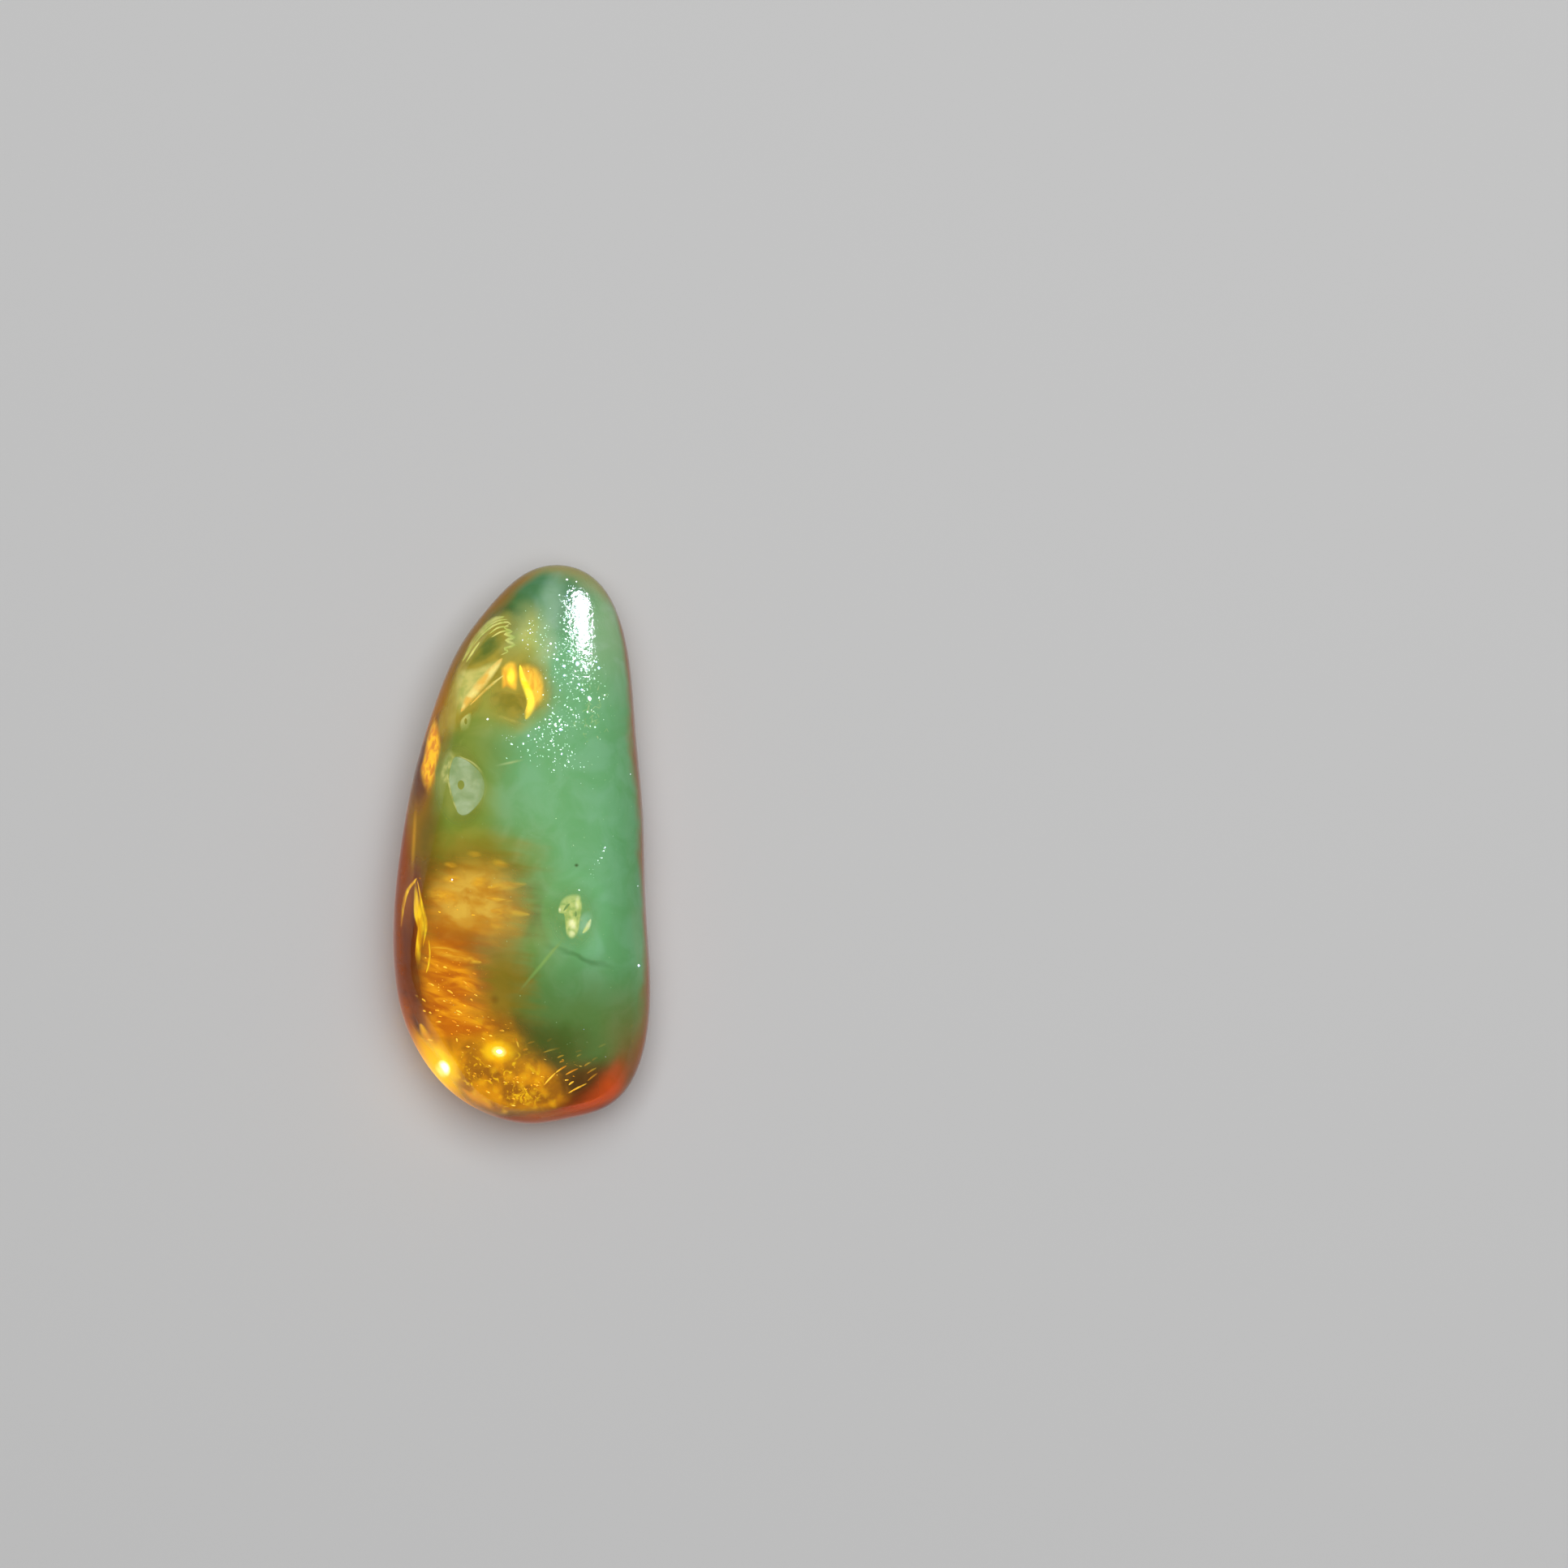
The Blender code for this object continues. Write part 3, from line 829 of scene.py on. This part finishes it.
fissures = {
    "dark_eye": inner(
        (84, 108, 40), (134, 136, 52),
        leaf(0.9, (-4.3, 12.6), (-3.6, 13.9), (-2.6, 15), (-1.5, 15.3), (-1.1, 14.6), (-1.6, 13.8),
             (-2.8, 12.9)),
        most=0.8, soft=0.8, stretch=(1.6, 0.6, 1), turn=-45, cut=(0.4, 0.65)),
    "pale_sheet": inner(
        (172, 182, 100), (208, 204, 124),
        leaf(0.6, (-4.65, 12.4), (-4.29, 12.65), (-3.2, 12.75), (-2.5, 13.1), (-1.3, 13.45), (-1.3, 12.9),
             (-1.9, 12.2), (-2.6, 11.3), (-3.5, 10.4), (-4.2, 9.45), (-4.5, 9.1), (-4.85, 9.4),
             (-4.95, 10.7), (-4.9, 11.9)),
        leaf(0.4, (-4.3, 9), (-3.67, 9.45), (-3.58, 8.92), (-3.85, 8.2), (-4.3, 8.03), (-4.47, 8.47),
             hole=((-4.02, 8.8), (0.1, 0.22))),
        glow=1.05, most=0.9, thick=0.06, soft=0.55, scale=1.1, ripple=0.05),
    "sheet_streaks": inner(
        (232, 186, 86), (240, 226, 138),
        thread(0.95, 0.3, (-1.36, 13.37), (-2.16, 12.39), (-3.05, 11.32), (-3.85, 10.34), (-4.4, 9.4)),
        thread(0.28, 0.45, (-1.27, 12.12), (-2.07, 11.5), (-2.87, 10.78), (-3.76, 9.9)),
        glow=1.15, thick=0.06, cut=(0.35, 0.6)),
    "feather": inner(
        (186, 196, 96), (224, 222, 134),
        thread(0.7, 0.5, (-4.3, 13), (-3.8, 13.9), (-3.4, 14.7), (-2.7, 15.5), (-2, 16.1), (-1.2, 16.3)),
        thread(0.2, 0.5, (-2.6, 15.2), (-1.9, 15.7), (-1.1, 15.9), (-0.75, 15.7)),
        thread(0.2, 0.5, (-2.35, 15.05), (-1.7, 15.5), (-0.9, 15.6)),
        thread(0.18, 0.5, (-2.2, 14.8), (-1.5, 15.2), (-0.8, 15.3)),
        thread(0.26, 0.5, (-3.5, 14.2), (-2.9, 14.95), (-2.2, 15.55), (-1.4, 15.95)),
        thread(0.22, 0.5, (-3, 15), (-2.4, 15.6), (-1.7, 16), (-1, 16.1)),
        thread(0.3, 0.5, (-4, 13), (-3.5, 13.8), (-3, 14.5)),
        thread(0.3, 0.5, (-0.8, 15.8), (-1.25, 15.5), (-0.72, 15.22), (-1.22, 15.05), (-0.54, 14.8),
               (-1.12, 14.6), (-0.54, 14.27), (-1.25, 14), (-1, 13.8), (-1.6, 13.5)),
        thread(0.2, 0.4, (-4.42, 7.1), (-4.3, 7.45), (-3.85, 7.35)),
        glow=1.15, thick=0.08, soft=0.9, scale=1.5),
    "flames": inner(
        (236, 170, 60), (254, 204, 76),
        leaf(0.9, (-1.53, 12.5), (-1.27, 12.92), (-0.82, 13.2), (-0.38, 13.05), (-0.2, 12.4), (-0.24, 11.6),
             (-0.4, 10.9), (-1.1, 11.15), (-1.45, 11.05), (-1.5, 11.7)),
        leaf(0.9, (-0.2, 13.05), (0.7, 13.05), (1.35, 12.65), (1.65, 11.85), (1.75, 10.87), (1.45, 10),
             (0.9, 9.3), (0.34, 8.75), (0.1, 9.1), (0.4, 9.9), (0.35, 10.7), (0.1, 11.5), (-0.11, 12.2)),
        glow=1.3, thick=0.12, soft=0.5, scale=1.2, stretch=(1.6, 0.7, 1), cut=(0.35, 0.62), broken=0.3),
    "flame_cores": inner(
        (255, 214, 40), (255, 236, 80),
        disc(0.7, (-0.78, 12), (0.42, 0.8)),
        thread(0.75, 0.7, (-0.15, 12.9), (0.05, 11.9), (0.42, 11.05), (0.65, 10.2), (0.5, 9.4),
               (0.25, 8.9)),
        glow=1.7, thick=0.06, cut=(0.4, 0.6)),
    "flame_shadow": inner(
        (134, 130, 48), (166, 152, 66),
        leaf(1.1, (-1.44, 11.05), (-0.4, 10.8), (0.16, 10.6), (0.34, 9), (0.5, 8.5), (-0.4, 8.75),
             (-1.9, 9.27), (-3.05, 9.8), (-2.5, 10.6)),
        most=0.9, thick=0.06, soft=0.25, scale=0.9),
    "fold_line": inner(
        (174, 152, 64), (196, 176, 84),
        thread(0.35, 0.6, (-3.1, 9.75), (-1.9, 9.27), (-0.4, 8.75), (0.5, 8.45)),
        thread(0.2, 0.2, (2.7, -7.2), (2, -7.8), (1.2, -8.9)),
        most=0.7, cut=(0.4, 0.6)),
    "edge_flame": inner(
        (214, 130, 8), (255, 194, 20),
        leaf(0.5, (-6.25, 9.6), (-5.85, 8.4), (-5.7, 7.1), (-5.9, 6), (-6.15, 5), (-6.2, 4), (-6.6, 3.2),
             (-7.1, 4), (-7.35, 5.2), (-7.1, 6.2), (-6.9, 7.4), (-6.6, 8.6)),
        glow=1.2, most=0.98, thick=0.2, soft=0.6, scale=1.8, stretch=(1.2, 0.8, 1), cut=(0.4, 0.58)),
    "ridge_band": inner(
        (222, 154, 14), (255, 210, 36),
        leaf(0.5, (-7.6, -2.3), (-7.4, -3.46), (-7.07, -4.42), (-6.83, -5.39), (-6.78, -6.06),
             (-6.99, -6.93), (-7.18, -7.9), (-7.31, -8.8), (-7.74, -8.67), (-7.5, -7.8), (-7.34, -6.84),
             (-7.55, -5.87), (-7.89, -4.62), (-7.93, -3.46), (-7.74, -2.69)),
        thread(0.3, 0.3, (-7.5, -2.5), (-7.15, -4.4), (-6.85, -5.8), (-7.1, -7.4)),
        thread(0.66, 0.4, (-7.5, -2.4), (-8.2, -3.5), (-8.48, -4.7), (-8.66, -6)),
        thread(0.2, 0.3, (-6.68, -6.84), (-6.58, -7.8), (-6.68, -8.67), (-6.87, -9.25)),
        glow=1.1, thick=0.1, soft=0.7, scale=1.3, stretch=(2.2, 0.5, 1), cut=(0.35, 0.62), broken=0.3),
}
makeInner(fissures)
print("fissures made")

flakes = {
    "flake_grounds": inner(
        (120, 136, 58), (140, 154, 76),
        disc(0.75, (-4, 4.2), (2.7, 4.1), 8),
        most=1, thick=0.03, soft=0.2, scale=0.5),
    "hook_ground": inner(
        (98, 152, 92), (112, 164, 106),
        disc(0.6, (3.9, -5.1), (2.7, 3.5), 4),
        most=1, thick=0.03, soft=0.2, scale=0.5),
    "disc_flake": inner(
        (140, 168, 120), (174, 196, 162),
        leaf(0.4, (-4.77, 6.28), (-4.14, 6.13), (-3.44, 5.64), (-2.87, 5.01), (-2.62, 4.16), (-2.8, 3.32),
             (-3.3, 2.61), (-4, 2.05), (-4.56, 2.19), (-4.92, 3.04), (-5.2, 4.02), (-5.2, 5.01),
             (-5.06, 5.78), hole=((-4.36, 4.24), (0.24, 0.33))),
        most=0.93, thick=0.06, soft=0.06, scale=0.8, cut=(0.35, 0.7), ripple=0.05),
    "disc_wing": inner(
        (142, 160, 84), (192, 196, 124),
        leaf(0.6, (-5.13, 6.84), (-4.63, 6.28), (-5, 5.71), (-5.2, 4.87), (-5.2, 4.16), (-5.69, 4.23),
             (-5.9, 5.01), (-5.69, 5.99)),
        thread(0.2, 0.3, (-4.6, 6.35), (-3.5, 5.8), (-2.75, 4.95), (-2.55, 4), (-2.75, 3.3)),
        thread(0.16, 0.3, (-5.2, 6.1), (-5.35, 5.2), (-5.2, 4.2), (-4.95, 3.2), (-4.6, 2.3)),
        most=0.75, thick=0.04, soft=0.5, scale=1.6, ripple=0.05),
    "hook_flake": inner(
        (160, 190, 108), (202, 218, 136),
        leaf(0.4, (2.56, -4.9), (2.62, -4.33), (2.9, -3.85), (3.3, -3.58), (3.76, -3.5), (4.2, -3.58),
             (4.34, -4.07), (4.36, -4.54), (4.28, -5.07), (4.2, -5.49), (4.14, -6.02), (4, -6.5),
             (3.6, -6.9), (3.2, -6.6), (3.08, -5.91), (3.04, -5.49), (3, -5.1), (2.9, -4.95)),
        most=0.9, thick=0.04, soft=0.25, scale=1.6, cut=(0.4, 0.6)),
    "hook_glass": inner(
        (124, 182, 146), (150, 198, 164),
        disc(0.45, (4.5, -5.65), (0.6, 1.1), -22),
        most=0.9, thick=0.03, soft=0.8),
    "hook_slit": inner(
        (104, 144, 74), (120, 152, 88),
        disc(0.3, (3.86, -5.02), (0.12, 0.28)),
        thread(0.24, 0.3, (2.98, -4.8), (3.2, -4.5), (3.44, -4.26)),
        most=0.85, thick=0.03),
    "hook_cores": inner(
        (226, 236, 150), (246, 250, 200),
        disc(0.25, (4, -4.22), (0.24, 0.62)),
        disc(0.25, (3.65, -5.7), (0.42, 0.6), -8),
        disc(0.25, (3.58, -6.42), (0.3, 0.32)),
        disc(0.25, (2.72, -4.7), (0.12, 0.2)),
        thread(0.44, 0.25, (4.35, -6.4), (4.7, -5.95), (4.95, -5.35)),
        glow=1.1, most=0.85, thick=0.03, scale=1.6, cut=(0.4, 0.6)),
}
makeInner(flakes)
print("flakes made")


# Small things: needles, scratches, painted glints and dust

needles = {
    "width": 0.15, "thick": 0.06, "bow": 0.03, "depth": 0.8,
    "runs": (  # both ends of each, seen from above, in mm
        (1.46, -14.95, 2.8, -14.59), (1.78, -14.18, 2.19, -13.93), (0.4, -14.3, 0.97, -14.14),
        (2.52, -15.32, 3.05, -15.12), (2.68, -15.65, 3.05, -15.53), (1.54, -17.32, 2.45, -16.35),
        (2.4, -16.4, 3.25, -15.85), (3.09, -16.55, 4.07, -16.06), (3.82, -14.91, 4.31, -14.79),
        (3.91, -15.24, 4.31, -15.04), (4.44, -15.93, 4.97, -15.61), (5.01, -15.53, 5.42, -15.28),
        (4.64, -16.46, 5.38, -16.01), (4.68, -16.99, 5.46, -16.38), (3.34, -17.28, 3.74, -16.99),
        (3.25, -17.89, 4.72, -17.12), (5.46, -14.59, 6.07, -14.3), (7.78, -13.12, 7.99, -12.95),
        (7.82, -14.22, 8.07, -14.02), (-6.75, -9.93, -6.27, -10.17), (-5.38, -10.44, -4.93, -10.72),
        (-4.28, -9.78, -3.69, -10.27), (-7.66, -10.82, -7.44, -10.97), (-7.18, -11.08, -6.88, -11.31),
        (-7.1, -11.94, -6.88, -12.01), (-6.66, -12.05, -6.47, -12.16), (-4.73, -11.9, -4.25, -12.16),
        (-6.21, -12.75, -5.77, -12.75), (-5.03, -12.64, -4.66, -12.83), (-3.32, -13.05, -2.88, -13.2),
        (-3.99, -13.31, -3.73, -13.42), (-2.21, -12.6, -1.95, -12.68), (-1.61, -13.37, -1.24, -13.4),
        (-4.69, -13.9, -4.62, -14.2), (-7.7, -13.9, -6.29, -14.09), (-0.46, -13.83, -0.2, -14.64),
        (0.06, -14.79, 0.46, -14.68), (-5.65, -8.8, -5.35, -8.9), (-6.2, -8.67, -6, -8.76),
        (-3.55, -9.25, -3.25, -9.35),
    ),
    "look": inner((222, 138, 26), (255, 206, 70), glow=1.3, most=1, soft=0.5, scale=1.5, cut=(0.4, 0.6)),
}
squiggles = {  # short pale scratches in the skin
    "count": 34, "at": (4.9, 9.2), "spread": (0.6, 1.0), "length": 0.5, "width": 0.09, "thick": 0.04,
    "seed": 12,
    "look": inner((150, 196, 128), (190, 218, 160), most=0.8, scale=1.5, cut=(0.4, 0.6)),
}
heaps = {
    "gold": (
        {"at": (-5.9, -10.2), "spread": (0.9, 1.6), "share": 24},
        {"at": (-3.8, -11.2), "spread": (1.2, 1.8), "share": 24},
        {"at": (-2.2, -17), "spread": (1.6, 1), "share": 44},
        {"at": (0.6, -17), "spread": (1.2, 0.9), "share": 34},
        {"at": (-2.5, -13.6), "spread": (1.8, 0.8), "share": 16},
        {"at": (4, -15.8), "spread": (1.4, 0.8), "share": 16},
        {"at": (-4.2, -3.5), "spread": (1.8, 1.6), "share": 14},
    ),
    "white": (
        {"at": (3.3, 16.4), "spread": (0.25, 1.6), "turn": 4, "share": 76},
        {"at": (3.4, 18.9), "spread": (0.5, 0.2), "share": 12},
        {"at": (3.2, 14), "spread": (1, 1.1), "share": 46},
        {"at": (4.3, 12.4), "spread": (1, 0.9), "share": 34},
        {"at": (3.6, 10.6), "spread": (1.4, 1.4), "share": 38},
        {"at": (2.5, 8.4), "spread": (1.3, 0.6), "turn": 20, "share": 36},
        {"at": (2.8, 6.4), "spread": (1.5, 0.9), "turn": -20, "share": 32},
        {"at": (0.8, 14.8), "spread": (0.6, 0.8), "share": 10},
        {"at": (-1, 7.6), "spread": (0.2, 0.2), "share": 3},
        {"at": (5.4, -1.2), "spread": (0.15, 0.9), "turn": -30, "share": 8},
    ),
    "dust": (
        {"at": (3.5, 5), "spread": (2.6, 5.5), "share": 50},
        {"at": (3.5, -8), "spread": (3, 5.5), "share": 30},
        {"at": (-3, 2), "spread": (2.4, 5), "share": 14},
        {"at": (-4, -8), "spread": (2.2, 4), "share": 20},
    ),
}
# Grains that shine by emission: painted glints of light, and pale specks of dust that glow the same way
sparks = {
    "gold_painted_glints": {
        "heap": "gold", "count": 190, "radii": (0.02, 0.075), "depth": (0.2, 1.4), "spin": (-35, 5),
        "squash": (2.4, 0.6, 0.6), "colours": ((255, 178, 30), (255, 228, 110)), "glow": 1.2, "seed": 7,
    },
    "skin_painted_glints": {
        "heap": "white", "count": 1000, "radii": (0.016, 0.085), "depth": (0, 0), "spin": (0, 360),
        "squash": (1.3, 0.8, 0.6), "colours": ((170, 210, 184), (240, 244, 255)), "glow": 1.6, "seed": 21,
    },
    "skin_dust": {
        "heap": "dust", "count": 170, "radii": (0.012, 0.035), "depth": (0, 0), "spin": (0, 360),
        "squash": (1, 1, 0.6), "colours": ((150, 190, 130), (210, 226, 190)), "glow": 0.8, "seed": 33,
    },
}
brightSparks = {  # place and radius of the largest painted glints in the skin, in mm
    "places": (
        (3.23, 18.93, 0.1), (3.9, 18.79, 0.11), (3.5, 18.48, 0.07), (3.23, 17.77, 0.08),
        (3.36, 17.46, 0.08), (3.45, 16.79, 0.09), (3.41, 16.3, 0.13), (3, 16.12, 0.08), (3.76, 15.77, 0.09),
        (3.54, 15.15, 0.09), (0.6, 15.37, 0.07), (0.6, 15.1, 0.09), (0.05, 14.59, 0.07), (2.07, 14.35, 0.1),
        (1.85, 13.86, 0.08), (2.43, 14.08, 0.08), (3.36, 13.81, 0.13), (2.52, 13.23, 0.11),
        (3.76, 13.28, 0.11), (3.98, 12.92, 0.22), (3, 12.74, 0.15), (3.05, 12.08, 0.13), (4.6, 12.57, 0.12),
        (4.25, 12.43, 0.1), (5.32, 13.05, 0.1), (5.5, 12.61, 0.11), (4.07, 11.45, 0.1), (4.3, 11.05, 0.12),
        (4.83, 10.43, 0.2), (2.74, 11.01, 0.09), (0.47, 7.76, 0.09), (1.23, 8.34, 0.1), (1.98, 8.92, 0.09),
        (2.43, 8.47, 0.11), (2.78, 8.2, 0.18), (3.09, 8.52, 0.09), (2.85, 6.45, 0.1), (7.77, 5, 0.09),
        (5.96, -0.25, 0.07), (8.3, -3, 0.06), (8.35, -8.7, 0.14), (-2.45, 8.95, 0.1), (-5, -2.55, 0.08),
        (4.44, -13.28, 0.07), (5.99, -15.24, 0.06),
    ),
    "share": 0.8,  # of the radii above
    "depth": 0.02, "squash": (1, 1, 0.6), "colours": ((176, 196, 255), (250, 252, 255)), "glow": 2.4,
    "seed": 5,
}
sparksWithin = (8.0, 19.0)  # half width and half length of the oval that the small ones keep to, in mm


def sparkFinish(name, look):
    # Each grain shines by emission between two tones: a painted glint
    f = Finish(name)
    dim, bright = (tone(*colour) for colour in look["colours"])
    paintedGlint = f.mixed(f.ramp(f.noise(4.0, 1.0), 0.4, 0.6), dim, bright)
    return f.show(f.add("BsdfPrincipled", Base_Color=dim, Roughness=0.2, Emission_Color=paintedGlint,
                        Emission_Strength=look["glow"]))


def makeNeedles():
    # Each bows a little between its ends
    parts = []
    for x0, y0, x1, y1 in needles["runs"]:
        path = ((x0, y0), ((x0 + x1) / 2, (y0 + y1) / 2 + needles["bow"]), (x1, y1))
        parts.append(ribbon(path, needles["width"], needles["depth"], needles["thick"], rows=10, columns=6))
    points, quads, local = joined(parts)
    makePiece("needles", points, quads, innerFinish("needles", needles["look"]), local)


def makeSparks():
    for name, spark in sparks.items():
        random = np.random.default_rng(spark["seed"])
        plan = scattered(spark["count"], heaps[spark["heap"]], spark["seed"])
        plan = plan[np.hypot(*(plan / sparksWithin).T) < 1]
        low, high = spark["radii"]
        radii = low + (high - low) * random.uniform(0, 1, len(plan)) ** 3
        centres = seenInside(plan, random.uniform(*spark["depth"], len(plan)) + radii * 0.3)
        points, quads = grains(centres, radii, spark["seed"] + 1, spark["squash"], spark["spin"])
        makePiece(name, points, quads, sparkFinish(name, spark))
    places = np.array(brightSparks["places"])
    centres = seenInside(places[:, :2], brightSparks["depth"])
    radii = places[:, 2] * brightSparks["share"]
    points, quads = grains(centres, radii, brightSparks["seed"], brightSparks["squash"])
    makePiece("bright_painted_glints", points, quads, sparkFinish("bright_painted_glints", brightSparks))


def makeSquiggles():
    random = np.random.default_rng(squiggles["seed"])
    starts = random.normal(squiggles["at"], squiggles["spread"], (squiggles["count"], 2))
    steps = random.normal(0, squiggles["length"] / 3, (squiggles["count"], 3, 2))
    paths = starts[:, None] + np.concatenate([np.zeros_like(steps[:, :1]), np.cumsum(steps, axis=1)], axis=1)
    parts = [ribbon(path, squiggles["width"], 0.0, squiggles["thick"], rows=12, columns=6) for path in paths]
    points, quads, local = joined(parts)
    makePiece("squiggles", points, quads, innerFinish("squiggles", squiggles["look"]), local)


makeNeedles()
makeSparks()
makeSquiggles()
print("needles and sparks made")


# Light and floor

studio = {
    "floor": (0.55, 0.55, 0.55, 1),
    "floorReach": 0.8,  # in metres
    "floorGap": 0.00002,
    "sky": 0.14,  # the light that comes from all round, and how bright the backdrop looks
    "backdrop": 0.55,
    # Where each lamp stands in degrees, how it is turned, its distance and size in metres, and its power.
    # The wide one lights the matt floor and the milky glow, the narrow one is what the polish reflects
    "lamps": {
        "wide": {"azimuth": 60.0, "elevation": 76.0, "roll": 0.0, "distance": 0.6, "size": (0.5, 0.5),
                 "power": 3.7, "colour": (1.0, 1.0, 1.0), "matt": True},
        "narrow": {"azimuth": 54.4, "elevation": 31.4, "roll": 27.0, "distance": 0.35, "size": (0.1, 0.175),
                   "power": 8.0, "colour": (0.82, 0.86, 1.0), "matt": False},
    },
}


def makeCamera():
    # The camera hangs over the middle of the picture and looks straight down, as the photograph does
    lens = bpy.data.cameras.new("camera")
    lens.lens = view["lensMm"]
    lens.sensor_width = view["sensorMm"]
    lens.clip_start = 0.01
    camera = bpy.data.objects.new("camera", lens)
    camera.location = Vector(eye) * mm
    bpy.context.scene.collection.objects.link(camera)
    bpy.context.scene.camera = camera


def makeStudio():
    scene = bpy.context.scene
    world = bpy.data.worlds.new("studio")
    world.use_nodes = True
    nodes = world.node_tree.nodes
    seen = Wire(nodes.new("ShaderNodeLightPath").outputs["Is Camera Ray"])
    plug(nodes["Background"].inputs["Color"], (1, 1, 1, 1))
    plug(nodes["Background"].inputs["Strength"], seen * (studio["backdrop"] - studio["sky"]) + studio["sky"])
    scene.world = world
    scene.view_settings.view_transform = "Standard"

    for name, lamp in studio["lamps"].items():
        light = bpy.data.lights.new(name, "AREA")
        light.shape = "RECTANGLE"
        light.size, light.size_y = lamp["size"]
        light.energy = lamp["power"]
        light.color = lamp["colour"]
        holder = bpy.data.objects.new(name, light)
        a, e = math.radians(lamp["azimuth"]), math.radians(lamp["elevation"])
        toward = Vector((math.cos(e) * math.cos(a), math.cos(e) * math.sin(a), math.sin(e)))
        holder.location = toward * lamp["distance"]
        rolled = Quaternion((0, 0, 1), math.radians(lamp["roll"]))
        holder.rotation_euler = (toward.to_track_quat("Z", "Y") @ rolled).to_euler()
        holder.visible_diffuse = lamp["matt"]
        holder.visible_glossy = not lamp["matt"]
        holder.visible_transmission = False
        scene.collection.objects.link(holder)

    reach = studio["floorReach"]
    corners = [(-reach, -reach, 0), (reach, -reach, 0), (reach, reach, 0), (-reach, reach, 0)]
    floorMesh = bpy.data.meshes.new("floor")
    floorMesh.from_pydata(corners, [], [(0, 1, 2, 3)])
    floor = bpy.data.objects.new("floor", floorMesh)
    floor.location.z = -studio["floorGap"]
    scene.collection.objects.link(floor)
    f = Finish("floor")
    floorMesh.materials.append(f.show(f.add("BsdfPrincipled", Base_Color=studio["floor"], Roughness=0.9,
                                            Specular_IOR_Level=0.0)))


makeCamera()
makeStudio()
print("studio made")
